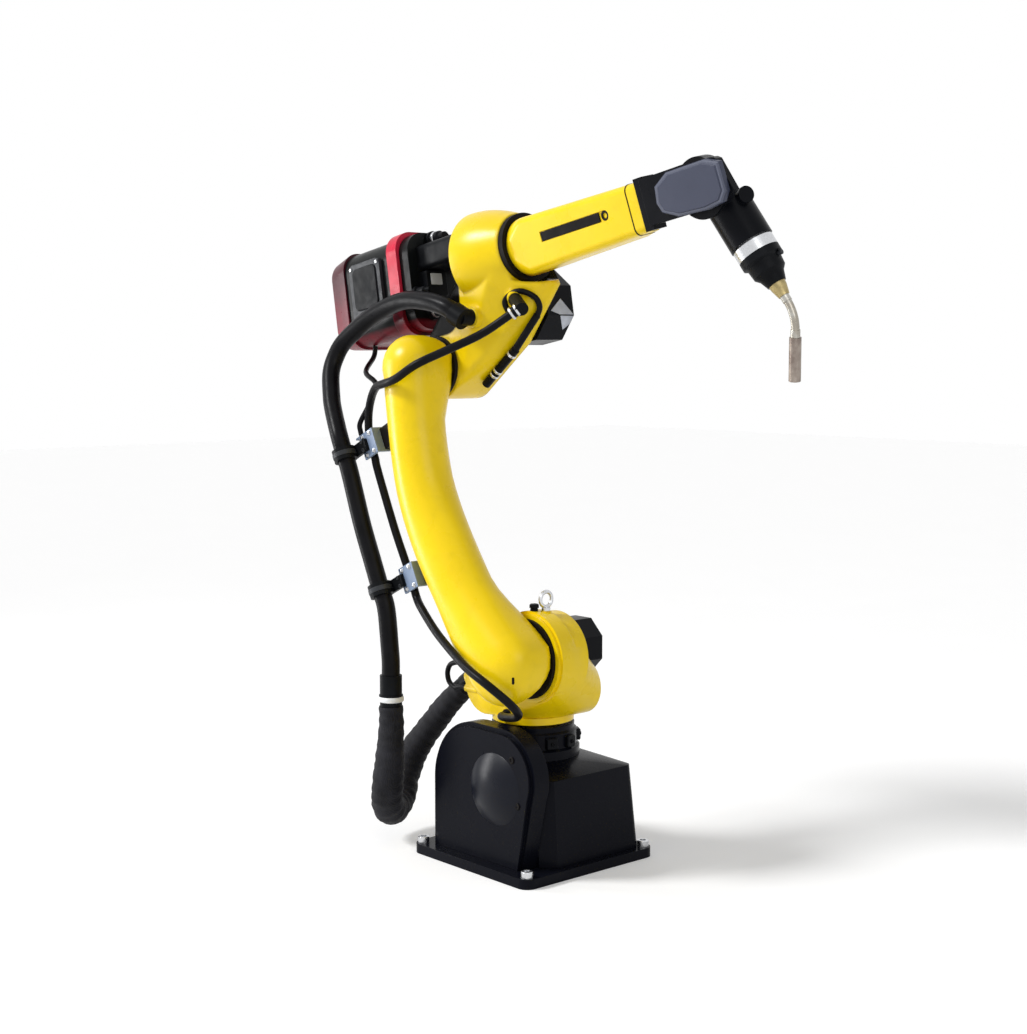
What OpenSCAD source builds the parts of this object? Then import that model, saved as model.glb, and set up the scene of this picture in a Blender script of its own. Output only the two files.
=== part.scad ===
// Six-axis arc welding robot on a bolted base, with a wire feeder on its elbow and a torch on its wrist.
// The origin is on the floor on the waist axis: +X is the way the arm reaches, +Z is up.
// It stands in its working pose, and each link is drawn in a frame of its own.

/* [Arm geometry] */
// Height of the shoulder axis above the floor
shoulder_z = 430; // [400:1:480]
// Distance of the shoulder axis in front of the waist axis
shoulder_x = 75; // [60:1:95]
// Shoulder axis to elbow axis
lower_arm_len = 640; // [600:1:700]
// Elbow axis up to the roll axis of the forearm
elbow_rise = 206; // [195:1:220]
// Foot of the elbow rise to the wrist bend axis
forearm_reach = 740; // [720:1:800]
// Lean of the lower arm to the back
arm_lean = 26; // [15:1:35]
// Pitch of the forearm above level
forearm_pitch = 10; // [0:1:20]
// Roll of the forearm about its own axis
forearm_roll = 12; // [0:1:30]
// Bend of the wrist below the forearm
wrist_bend = 69; // [40:1:80]

/* [Base] */
// Side of the square floor plate
plate_side = 358; // [352:1:380]
// Thickness of the floor plate
plate_t = 20; // [16:1:26]
// Spacing of the anchor holes, both ways
anchor_pitch = 322; // [316:1:326]
// Radius of an anchor hole
anchor_r = 9; // [6:0.5:10]
// Length of the base box along X, at the plate
box_len = 320; // [300:1:324]
// Left side of the base box, at the plate
box_left = 155; // [145:1:157]
// Right wall of the base box, where the side housing is bolted on
box_right = 104; // [103:1:112]
// Height of the box's shoulder edge
box_z = 193; // [170:1:200]
// How far the box draws in between plate and shoulder
box_draft = 12; // [6:1:18]
// Height of the casting's top, under the collar
crown_z = 216; // [208:1:225]
// Depth of the side housing, outwards
housing_d = 46; // [30:1:55]
// Height of the side housing
housing_z = 294; // [270:1:296]
// Top of the waist collar
collar_z = 282; // [278:1:284]
// Outer radius of the waist collar
collar_r = 90; // [86:1:95]

/* [Turret] */
// Radius of the turret's lower rim
rim_r = 84; // [80:1:88]
// Height of the turret's lower rim
rim_z = 288; // [286:1:294]
// Thickness of the rim
rim_t = 14; // [10:1:20]
// Radius of the waist spigot
waist_spigot_r = 58; // [50:1:65]
// Radius of the shoulder drum
drum_r = 95; // [92:1:100]
// Radius of the shoulder drum at its far end
far_drum_r = 70; // [64:1:78]
// Far end of the shoulder drum
drum_left = 2; // [-4:1:8]
// Radius of the turret's lower flank on the far side
flank_r = 58; // [52:1:62]
// Far end of the turret's lower flank
flank_left = 70; // [60:1:80]
// Radius of the shoulder motor, across corners
shoulder_motor_r = 62; // [55:1:66]
// Length of the shoulder motor
shoulder_motor_len = 125; // [100:1:140]
// Inner radius of the lifting eye
eye_r = 11; // [9:0.5:13]
// Wire radius of the lifting eye
eye_wire_r = 4; // [3:0.5:5]

/* [Lower arm] */
// Side of the arm at the joint faces, to the right of the middle plane
joint_y = 88; // [86:1:94]
// Thickness of the dark joint rings
ring_t = 7; // [5:1:9]
// Half width of the arm along its length
arm_r = 63; // [58:1:66]
// Depth of the arm's section, across the joint axes
arm_d = 116; // [108:1:120]
// Radius of the arm's shoulder end
arm_shoulder_r = 86; // [80:1:90]
// Radius of the arm's elbow end
arm_elbow_r = 67; // [63:1:70]
// How far the arm bows to the back
arm_bow = 76; // [60:1:85]
// How far the arm's front swells above the shoulder
arm_swell = 17; // [0:1:24]
// How far the arm's back draws in above the shoulder
arm_hollow = 8; // [0:1:12]
// Radius of the shoulder spigot
shoulder_spigot_r = 58; // [50:1:65]
// Radius of the elbow spigot
elbow_spigot_r = 44; // [38:1:50]
// Running clearance round a spigot
run_gap = 0.3; // [0.2:0.05:0.5]
// Depth of a spigot
spigot_len = 22; // [16:1:30]

/* [Dress pack] */
// Radius of the thick hose
hose_r = 19; // [17:0.5:21]
// Radius of the thin cables
cable_r = 8.5; // [7:0.5:9]
// Radius of the small leads
lead_r = 5.5; // [4:0.5:7]
// Wall of a hose clamp
clamp_wall = 6; // [4:0.5:8]
// Width of a hose clamp along the hose
clamp_w = 26; // [20:1:30]
// Length of a clamp's lug
lug_len = 56; // [52:1:60]
// Thickness of a clamp's lug
lug_t = 8; // [6:1:10]
// Thickness of the bracket plates
bracket_t = 5; // [4:0.5:8]
// Height of a bracket plate
bracket_h = 54; // [44:1:64]
// Width of a bracket plate
bracket_w = 48; // [44:1:52]
// Middle of the arm to the upper bracket plate
upper_reach = 128; // [120:1:134]
// Middle of the arm to the lower bracket plate
lower_reach = 92; // [90:1:100]

/* [Elbow] */
// Radius of the elbow hub
hub_r = 66; // [62:1:70]
// Far end of the elbow hub
hub_left = 22; // [16:1:30]
// Radius of the roll drum at its rear
roll_r = 101; // [98:1:106]
// Radius of the roll drum at its front
roll_front_r = 72; // [71:1:76]
// Rear end of the roll drum, along the forearm
roll_back = 84; // [78:1:95]
// Front end of the roll drum, along the forearm
roll_front = 216; // [210:1:224]
// Radius of the elbow motor, across corners
elbow_motor_r = 80; // [70:1:84]
// Length of the elbow motor
elbow_motor_len = 72; // [50:1:90]

/* [Wire feeder] */
// Elbow axis up to the feeder's middle
feeder_z = 196; // [190:1:206]
// Half width of the feeder
feeder_y = 82; // [74:1:84]
// Half height of the feeder
feeder_h = 108; // [96:1:112]
// Rear end of the feeder's body, behind the elbow axis
feeder_back = 290; // [270:1:310]
// Front end of the feeder's body, behind the elbow axis
feeder_front = 62; // [50:1:80]
// Depth of the rounded end shell
feeder_shell_d = 76; // [60:1:86]
// Rear edge of the bright band, behind the elbow axis
feeder_band_x = 126; // [110:1:150]
// Width of the bright band
feeder_band_w = 34; // [24:1:44]
// Length of the side cover
feeder_cover_len = 110; // [90:1:120]
// Height of the side cover
feeder_cover_h = 130; // [100:1:140]
// Width of the bracket to the elbow
feeder_bracket_w = 110; // [90:1:120]
// Height of the bracket to the elbow
feeder_bracket_h = 54; // [40:1:60]

/* [Forearm] */
// Half depth of the forearm, across the wrist's bend axis
forearm_y = 58; // [54:1:60]
// Half height of the forearm at its root
forearm_root = 56; // [52:1:58]
// Half height of the forearm at its end
forearm_end = 47; // [44:1:50]
// Radius of the forearm's long corners
forearm_corner = 15; // [8:1:20]
// Radius of the round flange at the forearm's root
flange_r = 59; // [56:1:64]
// Width of the dark band between elbow and forearm
band_w = 14; // [10:1:18]
// Radius of the roll spigot
roll_spigot_r = 50; // [44:1:56]

/* [Wrist] */
// Bend axis back to the end of the yellow forearm
wrist_room = 134; // [130:1:145]
// Bend axis back to the front of the wrist arm's root
root_room = 112; // [108:1:118]
// Half height of the wrist arm
wrist_h = 46; // [42:1:48]
// Outer face of the wrist arm
wrist_out = 66; // [64:1:70]
// Inner face of the wrist arm
wrist_in = 51; // [50:1:54]
// Thickness of the wrist cover
cover_t = 9; // [6:1:12]
// Radius of the bend shaft
bend_shaft_r = 24; // [18:1:30]
// Radius of the wrist barrel
barrel_r = 41; // [38:1:43]
// Radius of the bend hub
bend_hub_r = 56; // [50:1:58]
// Near end of the bend hub
hub_near = 45; // [42:1:46]
// Far end of the bend hub
hub_far = 22; // [14:1:28]

/* [Torch] */
// Front of the wrist barrel, from the bend axis
barrel_x = 126; // [120:1:136]
// Width of the silver ring
tool_ring_w = 21; // [18:1:30]
// Radius of the silver ring
tool_ring_r = 39; // [36:1:41]
// Length of the torch socket
socket_len = 63; // [56:1:70]
// Length of the brass cone
cone_len = 25; // [20:1:32]
// Radius of the gooseneck
neck_r = 7.5; // [6:0.5:9]
// Bend radius of the gooseneck
neck_bend = 81; // [70:1:100]
// Bend angle of the gooseneck
neck_angle = 40; // [30:1:50]
// Radius of the nozzle
nozzle_r = 11; // [10:0.5:13]
// Length of the nozzle
nozzle_len = 80; // [70:1:95]

/* [Hidden] */
$fn = 64;
slim = 0.5;
half_pitch = anchor_pitch / 2;
box_half = box_len / 2;
turret_y = joint_y - ring_t - run_gap;
elbow_pos = arm_point([0, 0, lower_arm_len]);
arm_mid_y = joint_y + 4 + arm_d / 2;
forearm_x = forearm_reach - wrist_room;
root_x = forearm_reach - root_room;
root_depth = 30;
barrel_back = 32;
tool_x = barrel_x + 3;
tool_spigot_r = 30;
socket_x = tool_x + tool_ring_w;
cone_x = socket_x + socket_len;
neck_x = cone_x + cone_len;
neck_straight = 10;
ferrule_t = 1.2;
ferrule_len = 12;
hose_y = 210;
clamp_top = 542;
clamp_low = 242;
plate_y = 24 - hose_y;
upper_plate_x = bow(clamp_top) - upper_reach;
lower_plate_x = bow(clamp_low) - lower_reach;
hose_top_x = bow(clamp_top) - 185;
hose_low_x = bow(clamp_low) - 160;
cable_y = 171;
cable_top_x = upper_plate_x - 11;
cable_low_x = lower_plate_x - 10;
cable_top = clamp_top - 16;
cable_low = clamp_low - 27;
coupler_at = [-206, -hose_y, 308];
coupler_len = 65;
saddle_at = [-164, -40, 335];
saddle_way = unit([32, 0, 23]);
saddle_len = 28;
saddle_r = 25;
gland_at = [10, 5 - joint_y, 305];
gland_len = 14;
eye_at = [shoulder_x + 15, -47, shoulder_z + drum_r];
eye_seat_r = 9;
lead_low = [-126, -72, 340];
lead_high = [-122, -72, 390];
lead_boss = 40;
socket_at = [108, -112, 94];
socket_way = unit([20, 5, -16]);
socket_stub = [122, -112, 82];
connector_at = [240, -78, 66];
connector_lead = [54, 36, 30];
connector_bend = connector_at + connector_lead / 3;
connector_seat = [222, -46, 100];
connector_way = unit(connector_bend - connector_seat);
shoulder_motor_at = [16, 0, shoulder_z - 1];
far_drum_at = [shoulder_x + 8, 0, shoulder_z - 28];
flank_at = [shoulder_x - 5, 0, shoulder_z - 72];
elbow_motor_at = [160, 0, elbow_rise - 108];
elbow_motor_y = hub_left + 6;
web_knee = [roll_front - 38, elbow_rise - 186];
web_nose = [roll_front + 70, elbow_rise - 86];
conduit_r = 9;
conduit_low = [39.4 + 0.47 * hub_r, -16.8, 9.9 - 0.88 * hub_r];
conduit_knee = [web_knee.x - 7.7, -16.6, web_knee.y - 14.9];
conduit_high = [web_knee.x + 60.5, -6.1, web_knee.y + 45.4];
lead_at = [-262, -38, feeder_z - feeder_h + 3];
tab_at = [upper_plate_x - 26, -176, clamp_top + bracket_h / 2];
pad_y = arm_mid_y;
strip_x = 330;
strip_len = 180;
strip_h = 20;
strip_z = 7;
strip_depth = 3;

// Points of the links' frames in the frame of the whole robot
function turn(p, a) = [p.x * cos(a) + p.z * sin(a), p.y, p.z * cos(a) - p.x * sin(a)];
function arm_point(p) = [shoulder_x, 0, shoulder_z] + turn(p, -arm_lean);
function elbow_point(p) = elbow_pos + turn(p, -forearm_pitch);

// Thick hose from the elbow to the upper clamp
hose_elbow_route = concat(
    [for (p = [socket_at - run_gap * socket_way, [88, -117, 110], [40, -120, 130], [-26, -120, 146],
               [-90, -120, 146], [-160, -125, 132], [-240, -136, 98], [-265, -148, 66]]) elbow_point(p)],
    [for (p = [[-249, -162, 744], [-245, -180, 693], [-238, -192, 655], [hose_top_x, -hose_y, 585],
               [hose_top_x, -hose_y, clamp_top + run_gap]]) arm_point(p)]);
// Thick hose along the lower arm and down to its coupler
hose_arm_route = concat(
    [for (p = [[hose_top_x, -hose_y, clamp_top], [hose_top_x, -hose_y, 500], [-229, -hose_y, 390],
               [-230, -hose_y, 300], [hose_low_x, -hose_y, clamp_low], [hose_low_x, -hose_y, 200]])
        arm_point(p)],
    [[-209, -hose_y, 430], [-206, -hose_y, 402], coupler_at + [0, 0, coupler_len]]);
// Sleeved hose from the coupler in a hanging loop to the turret
hose_loop_route = [coupler_at - [0, 0, run_gap], coupler_at - [0, 0, 40], [-207, -211, 222], [-213, -212, 168],
                   [-232, -202, 113], [-260, -174, 74], [-288, -139, 67], [-310, -106, 84], [-324, -83, 123],
                   [-319, -65, 164], [-295, -53, 207], [-247, -44, 263], saddle_at - 45 * saddle_way,
                   saddle_at - run_gap * saddle_way];
hose_loop_radii = [25, 26, 29, 32, 33, 34, 34, 34, 33, 32, 29, 27, 25, 23];
// Thin cable from the elbow connector over the arm's elbow end to the upper bracket
cable_elbow_route = concat(
    [for (p = [connector_at - run_gap * unit(connector_lead), connector_at - connector_lead, [134, -166, 12],
               [90, -210, -8], [34, -223, -28]]) elbow_point(p)],
    [for (p = [[-20, -219, 614], [-66, -203, 627], [-116, -184, 622], [-156, -cable_y, 600],
               [cable_top_x, -cable_y, cable_top + 30], [cable_top_x, -cable_y, cable_top + run_gap]])
        arm_point(p)]);
// Thin cable along the lower arm
cable_arm_route = [for (p = [[cable_top_x, -cable_y, cable_top], [cable_top_x, -cable_y, cable_top - 14],
                             [-177, -cable_y, 484], [-178, -cable_y, 357], [-174, -cable_y, 278],
                             [cable_low_x, -cable_y, cable_low + 14], [cable_low_x, -cable_y, cable_low]])
                       arm_point(p)];
// Thin cable from the lower bracket past the arm's shoulder end to the turret's rim
cable_turret_route = concat(
    [for (p = [[cable_low_x, -cable_y, cable_low - run_gap], [cable_low_x, -cable_y, cable_low - 16],
               [-156, -180, 172]]) arm_point(p)],
    [[-78, -191, 475], [11, -213, 440], [58, -221, 422], [108, -220, 402], [146, -196, 368], [140, -166, 342],
     [96, -132, 322], [40, -108, 309], gland_at - [0, 12, 0], gland_at - [0, run_gap, 0]]);
// Lead from the feeder down to the upper bracket
feeder_lead_route = concat(
    [for (p = [lead_at, lead_at - [0, 8, 24], [-204, -116, 24]]) elbow_point(p)],
    [for (p = [[-127, -150, 662], [-152, -160, 630], [-184, -174, 600], tab_at + [0, 0, 14],
               tab_at + [0, 0, run_gap]]) arm_point(p)]);
// Short lead that loops out behind the turret
loop_lead_route = [lead_low - [run_gap, 0, 0], lead_low - [20, 0, 0], [-166, -72, 335], [-184, -72, 344],
                   [-190, -72, 362], [-182, -72, 380], [-164, -72, 388], lead_high - [20, 0, 0],
                   lead_high - [run_gap, 0, 0]];

yellow = "#f2cf10";
black = "#25262b";
steel = "#b9bec6";
slate = "#474d61";
bracket_blue = "#7f91b0";
red = "#a5183a";
brass = "#a08a58";
stained = "#8b8078";

// Places a child in the frame of a link
module at_arm() { translate([shoulder_x, 0, shoulder_z]) rotate([0, -arm_lean, 0]) children(); }
module at_elbow() { translate(elbow_pos) rotate([0, -forearm_pitch, 0]) children(); }
module at_roll() { at_elbow() translate([0, 0, elbow_rise]) rotate([forearm_roll, 0, 0]) children(); }
module at_wrist() { at_roll() translate([forearm_reach, 0, 0]) rotate([0, wrist_bend, 0]) children(); }

// A cylinder along X from x0 to x1, and one along Y from y0 to y1
module rod_x(r, x0, x1) { translate([x0, 0, 0]) rotate([0, 90, 0]) cylinder(r = r, h = x1 - x0); }
module rod_y(r, y0, y1) { translate([0, y0, 0]) rotate([-90, 0, 0]) cylinder(r = r, h = y1 - y0); }

// A cylinder from one point to another
module rod(p, q, r) {
    d = q - p;
    translate(p) rotate([0, acos(d.z / norm(d)), atan2(d.y, d.x)]) cylinder(r = r, h = norm(d));
}

// A profile in X and Z, given thickness from y0 to y1
module slab_y(y0, y1) { translate([0, y1, 0]) rotate([90, 0, 0]) linear_extrude(y1 - y0) children(); }

// A profile in Y and Z, given length from x0 to x1
module slab_x(x0, x1) {
    translate([x0, 0, 0]) rotate([90, 0, 90]) linear_extrude(x1 - x0) children();
}

// A profile of distance and radius, turned about the X axis
module turned_x(points) { rotate([0, 90, 0]) rotate_extrude() polygon([for (p = points) [p[1], p[0]]]); }

// A rectangle with round corners, centred
module round_rect(w, h, r) {
    square([w - 2 * r, h], center = true);
    square([w, h - 2 * r], center = true);
    for (x = [-1, 1], y = [-1, 1]) translate([x * (w / 2 - r), y * (h / 2 - r)]) circle(r);
}

// Frame across a route at point i: the way along, then two ways across
function unit(v) = v / norm(v);
function along(path, i) = unit(path[min(i + 1, len(path) - 1)] - path[max(i - 1, 0)]);
function across(t) = unit(cross(t, abs(t.y) > 0.9 ? [1, 0, 0] : [0, 1, 0]));

// A tube through the points of a route, with a radius at each point
module tube(path, radii, sides = 10) {
    n = len(path);
    rings = [for (i = [0:n - 1], k = [0:sides - 1])
        let (t = along(path, i), u = across(t), v = cross(t, u), a = 360 * k / sides)
            path[i] + radii[i] * (cos(a) * u + sin(a) * v)];
    walls = [for (i = [0:n - 2], k = [0:sides - 1]) let (q = (k + 1) % sides)
        each [[i * sides + k, (i + 1) * sides + k, (i + 1) * sides + q],
              [i * sides + k, (i + 1) * sides + q, i * sides + q]]];
    ends = [[for (k = [0:sides - 1]) k], [for (k = [sides - 1:-1:0]) (n - 1) * sides + k]];
    polyhedron(points = rings, faces = concat(walls, ends));
}
module even_tube(path, r) { tube(path, [for (p = path) r]); }

// Base
module base_plate() {
    color(black) difference() {
        linear_extrude(plate_t) round_rect(plate_side, plate_side, 24);
        for (x = [-1, 1], y = [-1, 1])
            translate([x * half_pitch, y * half_pitch, -1]) cylinder(r = anchor_r, h = plate_t + 2);
    }
}

// Outline of the base box at a height, with the pocket for the anchor at its front right corner
module box_outline(inset) {
    front = box_half - inset;
    left = box_left - inset;
    corner = 18;
    pocket = 26;
    polygon(concat(
        [[-front, -box_right], [front - pocket, -box_right], [front, pocket - box_right]],
        [for (a = [0:15:90]) [front - corner + corner * cos(a), left - corner + corner * sin(a)]],
        [for (a = [90:15:180]) [corner - front + corner * cos(a), left - corner + corner * sin(a)]]));
}

module base_casting() {
    color(black) {
        hull() {
            translate([0, 0, plate_t]) linear_extrude(slim) box_outline(0);
            translate([0, 0, box_z - slim]) linear_extrude(slim) box_outline(box_draft);
        }
        hull() {
            translate([0, 0, box_z - slim]) linear_extrude(slim) box_outline(box_draft);
            translate([0, 0, crown_z - slim]) cylinder(r = collar_r + 6, h = slim, $fn = 48);
        }
    }
}

// Side housing: an arch with a long round at the back and a bellied front
module housing_outline(inset) {
    back_r = 128 - inset;
    front_r = 96 - inset;
    back_x = -18;
    front_x = 66;
    belly_z = housing_z - 96;
    intersection() {
        translate([-200, plate_t]) square([400, housing_z]);
        union() {
            translate([back_x, housing_z - 128]) circle(back_r);
            translate([front_x, belly_z]) circle(front_r);
            translate([back_x, housing_z - 140]) square([front_x - back_x, 140 - inset]);
            translate([back_x - back_r, plate_t]) square([back_r, housing_z - 128 - plate_t]);
            polygon([[back_x, plate_t], [front_x + front_r * 0.62, plate_t],
                     [front_x + front_r, belly_z], [back_x, belly_z]]);
        }
    }
}

module base_side_housing() {
    step = 9;
    color(black) {
        slab_y(step - box_right - housing_d, -box_right) housing_outline(0);
        slab_y(-box_right - housing_d, step - box_right - housing_d) housing_outline(step);
    }
}

module waist_collar() {
    color(black) rotate_extrude() polygon([
        [waist_spigot_r + run_gap, crown_z], [collar_r + 6, crown_z], [collar_r + 6, crown_z + 18],
        [collar_r, crown_z + 22], [collar_r, collar_z - 14], [collar_r - 5, collar_z - 10],
        [collar_r - 5, collar_z], [waist_spigot_r + run_gap, collar_z]]);
}

// Turret
module turret_casting() {
    rear = [-62, 0, 358];
    rear_r = 62;
    rear_left = 16;
    color(yellow) difference() {
        union() {
            translate([0, 0, rim_z]) cylinder(r = rim_r, h = rim_t);
            translate([0, 0, rim_z - spigot_len]) cylinder(r = waist_spigot_r, h = spigot_len + 1);
            hull() {
                translate([0, 0, rim_z + rim_t - slim]) cylinder(r = rim_r - 4, h = slim, $fn = 40);
                translate([shoulder_x, 0, shoulder_z]) rod_y(drum_r, -turret_y + 6, -40, $fn = 48);
                translate(far_drum_at) rod_y(far_drum_r, drum_left - 20, drum_left, $fn = 40);
                translate(rear) rod_y(rear_r, -turret_y + 3, rear_left, $fn = 32);
                translate(flank_at) rod_y(flank_r, 0, flank_left, $fn = 40);
            }
            translate([shoulder_x, 0, shoulder_z]) rod_y(drum_r - 6, -turret_y, 0);
            translate(shoulder_motor_at) rod_y(shoulder_motor_r - 20, -20, drum_left);
            rod(saddle_at + saddle_len * saddle_way, saddle_at + 100 * saddle_way, saddle_r);
            translate([gland_at.x, 0, gland_at.z]) rod_y(cable_r + 6, gland_at.y + gland_len, -40);
            for (p = [lead_low, lead_high]) rod(p, p + [lead_boss, 0, 0], lead_r + 3);
            translate([eye_at.x, eye_at.y, shoulder_z]) cylinder(r = eye_seat_r + 2, h = drum_r);
        }
        translate([gland_at.x, 0, gland_at.z])
            rod_y(cable_r + 4 + run_gap, gland_at.y - 1 - rim_r, gland_at.y + gland_len);
        translate([shoulder_x, 0, shoulder_z])
            rod_y(shoulder_spigot_r + run_gap, -turret_y - 1, spigot_len + 1 - turret_y);
        translate(shoulder_motor_at) rod_y(shoulder_motor_r + 2, drum_left, drum_left + shoulder_motor_len);
    }
}

module shoulder_motor() {
    color(black) translate(shoulder_motor_at) {
        rotate([0, 22.5, 0]) rod_y(shoulder_motor_r, drum_left, drum_left + shoulder_motor_len, $fn = 8);
        rod_y(38, drum_left + shoulder_motor_len, drum_left + shoulder_motor_len + 12);
    }
}

module lifting_eye() {
    ring_mid = eye_r + eye_wire_r;
    color(steel) translate(eye_at) {
        cylinder(r = eye_seat_r, h = 6);
        cylinder(r = 5, h = 10);
        translate([0, 0, 8 + ring_mid]) rotate([0, 90, 0])
            rotate_extrude() translate([ring_mid, 0]) circle(eye_wire_r, $fn = 24);
    }
}

module hose_saddle() { color(black) rod(saddle_at, saddle_at + saddle_len * saddle_way, saddle_r); }

module cable_gland() { color(black) rod(gland_at, gland_at + [0, gland_len, 0], cable_r + 4); }

// Lower arm
module shoulder_ring() {
    color(black) at_arm() {
        rod_y(arm_shoulder_r - 6, -joint_y, ring_t - joint_y);
        rod_y(shoulder_spigot_r, ring_t - joint_y, ring_t + spigot_len - joint_y);
    }
}

// Section of the arm at a distance along it: half widths to the sides, the right and the joint face
function ease(x) = let (c = max(0, min(1, x))) c * c * (3 - 2 * c);
function near_shoulder(z) = 1 - ease((z - 10) / 170);
function near_elbow(z) = ease((z - lower_arm_len + 130) / 120);
function end_cap(z) = z < 0 ? sqrt(max(0, 1 - pow(z / arm_shoulder_r, 2)))
    : z > lower_arm_len ? sqrt(max(0, 1 - pow((z - lower_arm_len) / arm_elbow_r, 2))) : 1;
function arm_width(z) = end_cap(z) * (arm_r + (arm_shoulder_r - arm_r) * near_shoulder(z)
    + (arm_elbow_r - arm_r) * near_elbow(z));
function bow(z) = -arm_bow * sin(180 * max(0, min(1, z / lower_arm_len)));
function lump(z) = let (t = (z - 50) / (0.56 * lower_arm_len)) t > 0 && t < 1 ? pow(sin(180 * t), 1.2) : 0;
function power(v, n) = sign(v) * pow(abs(v), n);
function arm_ring(z, count, grow) = [for (k = [0:count - 1])
    let (a = 360 * k / count, end = max(near_shoulder(z), near_elbow(z)),
         squareness = sin(a) > 0 ? 1 / (1 + end) : 1,
         deep = sin(a) > 0 ? arm_d / 2 + 22 * end : arm_d / 2)
    [bow(z) + power(cos(a), squareness)
         * (arm_width(z) + grow + (cos(a) > 0 ? arm_swell : -arm_hollow) * lump(z)),
     min(-joint_y, -arm_mid_y + (deep * end_cap(z) + grow) * power(sin(a), squareness)), z]];

module arm_solid(grow) {
    count = 32;
    cap_steps = 6;
    lowest = [for (i = [0:cap_steps - 1]) -arm_shoulder_r * cos(8 + 82 * i / cap_steps)];
    highest = [for (i = [1:cap_steps]) lower_arm_len + arm_elbow_r * sin(82 * i / cap_steps)];
    levels = concat(lowest, [for (i = [0:22]) lower_arm_len * i / 22], highest);
    rings = [for (z = levels) each arm_ring(z, count, grow)];
    last = (len(levels) - 1) * count;
    walls = [for (i = [0:len(levels) - 2], k = [0:count - 1])
        let (q = (k + 1) % count, low = i * count, high = low + count)
            each [[low + k, high + k, high + q], [low + k, high + q, low + q]]];
    caps = [[for (k = [0:count - 1]) k], [for (k = [count - 1:-1:0]) last + k]];
    polyhedron(points = rings, faces = concat(walls, caps));
}
module lower_arm_casting() { color(yellow) at_arm() arm_solid(0); }

module elbow_ring() {
    color(black) at_arm() translate([0, 0, lower_arm_len]) {
        rod_y(arm_elbow_r - 3, -joint_y, ring_t - joint_y);
        rod_y(elbow_spigot_r, ring_t - joint_y, ring_t + spigot_len - joint_y);
    }
}

// A bent bracket at a distance along the arm: a plate that carries the clamp and a flange to the arm's pad
module bracket(z, plate_x) {
    half = bracket_w / 2;
    translate([0, 0, z]) {
        translate([plate_x - half, plate_y, -bracket_h / 2]) cube([bracket_w, bracket_t, bracket_h]);
        translate([plate_x + half - bracket_t, plate_y, -bracket_h / 2])
            cube([bracket_t, 20 - pad_y - plate_y, bracket_h]);
    }
}
module hose_brackets() {
    color(bracket_blue) at_arm() {
        bracket(clamp_top, upper_plate_x);
        bracket(clamp_low, lower_plate_x);
        translate([tab_at.x - 10, plate_y, tab_at.z - 4]) cube([17, 44, 4]);
    }
}

// The pads under the brackets, cut to the arm's round back
module bracket_pads() {
    pad_w = 32;
    color(black) at_arm() difference() {
        for (b = [[clamp_top, upper_plate_x], [clamp_low, lower_plate_x]])
            translate([b[1] + bracket_w / 2, -pad_y - pad_w / 2, b[0] - bracket_h / 2 + 4])
                cube([bow(b[0]) - b[1] - bracket_w + 4, pad_w, bracket_h - 8]);
        arm_solid(run_gap);
    }
}

// A round clamp on the thick hose, with a lug to its bracket
module clamp(z, x) {
    at_arm() translate([x, -hose_y, z]) difference() {
        union() {
            translate([0, 0, -clamp_w / 2]) cylinder(r = hose_r + clamp_wall, h = clamp_w);
            translate([0, hose_y + plate_y - lug_t, -clamp_w / 2]) cube([lug_len, lug_t, clamp_w]);
        }
        translate([0, 0, -clamp_w]) cylinder(r = hose_r + run_gap, h = 2 * clamp_w);
    }
}
module hose_clamps() {
    color(black) {
        clamp(clamp_top, hose_top_x);
        clamp(clamp_low, hose_low_x);
    }
}

module hose_arm_run() { color(black) even_tube(hose_arm_route, hose_r); }
module hose_coupler() {
    color(black) translate(coupler_at) {
        cylinder(r = hose_r + 4, h = coupler_len);
        translate([0, 0, 18]) cylinder(r = hose_r + 6, h = 6);
    }
}
module cable_arm_run() { color(black) even_tube(cable_arm_route, cable_r); }
module hose_loop() { color(black) tube(hose_loop_route, hose_loop_radii, 12); }
module cable_turret_run() { color(black) even_tube(cable_turret_route, cable_r); }
module loop_lead() { color(black) even_tube(loop_lead_route, lead_r); }
module hose_elbow_run() { color(black) even_tube(hose_elbow_route, hose_r); }
module cable_elbow_run() { color(black) even_tube(cable_elbow_route, cable_r); }
module feeder_lead() { color(black) even_tube(feeder_lead_route, lead_r); }

// Elbow
module elbow_casting() {
    lip = 14;
    drum = [for (i = [0:8]) let (t = i / 8)
        [roll_back + lip + (roll_front - roll_back - lip) * t,
         roll_front_r + (roll_r - roll_front_r) * cos(90 * t)]];
    color(yellow) at_elbow() difference() {
        union() {
            translate([0, 0, elbow_rise]) turned_x(concat([[roll_back, 0], [roll_back, roll_r - 12]], drum,
                                                          [[roll_front, 0]]));
            hull() {
                rod_y(hub_r, -turret_y + 4, hub_left, $fn = 40);
                translate([0, 0, elbow_rise]) rod_x(roll_front_r - 4, roll_back + 60, roll_front - 6, $fn = 40);
                slab_y(0, hub_left) polygon([web_knee, web_nose, [roll_front, elbow_rise - roll_front_r]]);
            }
            rod_y(hub_r - 5, -turret_y, 0);
            translate(elbow_motor_at) rod_y(elbow_motor_r - 24, 10, elbow_motor_y);
            translate([socket_stub.x, 0, socket_stub.z]) rod_y(hose_r + 3, -turret_y - 2, 0);
            rod(connector_seat, connector_seat - 45 * connector_way, cable_r + 6);
        }
        rod_y(elbow_spigot_r + run_gap, -turret_y - 1, spigot_len + 1 - turret_y);
        translate(elbow_motor_at) rod_y(elbow_motor_r + 2, elbow_motor_y, elbow_motor_y + elbow_motor_len);
        translate([0, 0, elbow_rise])
            rod_x(roll_spigot_r + run_gap, roll_front - spigot_len - 1, roll_front + 1);
        forearm_sweep(5);
    }
}

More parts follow.
